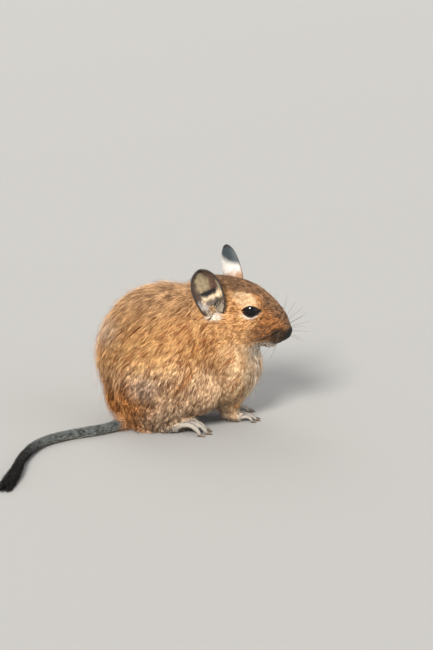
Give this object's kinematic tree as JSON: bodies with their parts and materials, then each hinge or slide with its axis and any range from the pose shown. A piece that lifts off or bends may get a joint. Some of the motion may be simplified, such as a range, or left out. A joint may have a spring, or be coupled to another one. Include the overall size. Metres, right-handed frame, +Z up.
{
  "type": "degu",
  "caption": "Life-size still model of a degu sitting hunched on all fours, head turned to one side, with cupped ears and a long tail that ends in a brush.",
  "frame": {"origin": "bottom centre of the bounding box, on the floor", "axes": "+X towards the chest and face, along the body's length, +Y towards the animal's left side, +Z up"},
  "size_m": [0.1642, 0.1236, 0.0887],
  "materials": {
    "flank_fur": "short dense agouti fur, golden brown ticked with dark brown",
    "face_fur": "very short agouti fur, mauve brown on the forehead, cream round the eye",
    "pale_fur": "short cream fur of the chest and belly",
    "ear_skin": "thin dark skin with sparse pale hair",
    "eye": "wet black gloss",
    "nose_skin": "moist dark skin",
    "foot_skin": "scaly grey pink skin with fine pale hair",
    "claw": "translucent horn",
    "whisker": "dark tapering hair",
    "tail_fur": "short bristly grey fur over ringed skin",
    "tail_tuft_fur": "long coarse black hair"
  },
  "bodies": {
    "root": {"torso": "flank_fur", "neck": "flank_fur", "head": "face_fur", "hindleg_right": "flank_fur", "hindleg_left": "flank_fur", "foreleg_right": "pale_fur", "foreleg_left": "pale_fur", "ear_right": "ear_skin", "ear_left": "ear_skin", "eye_right": "eye", "eye_left": "eye", "hindfoot_right": "foot_skin", "hindfoot_left": "foot_skin", "forepaw_right": "foot_skin", "forepaw_left": "foot_skin", "tail_base": "tail_fur", "tail_middle": "tail_fur", "tail_tuft": "tail_tuft_fur"}
  },
  "joints": []
}
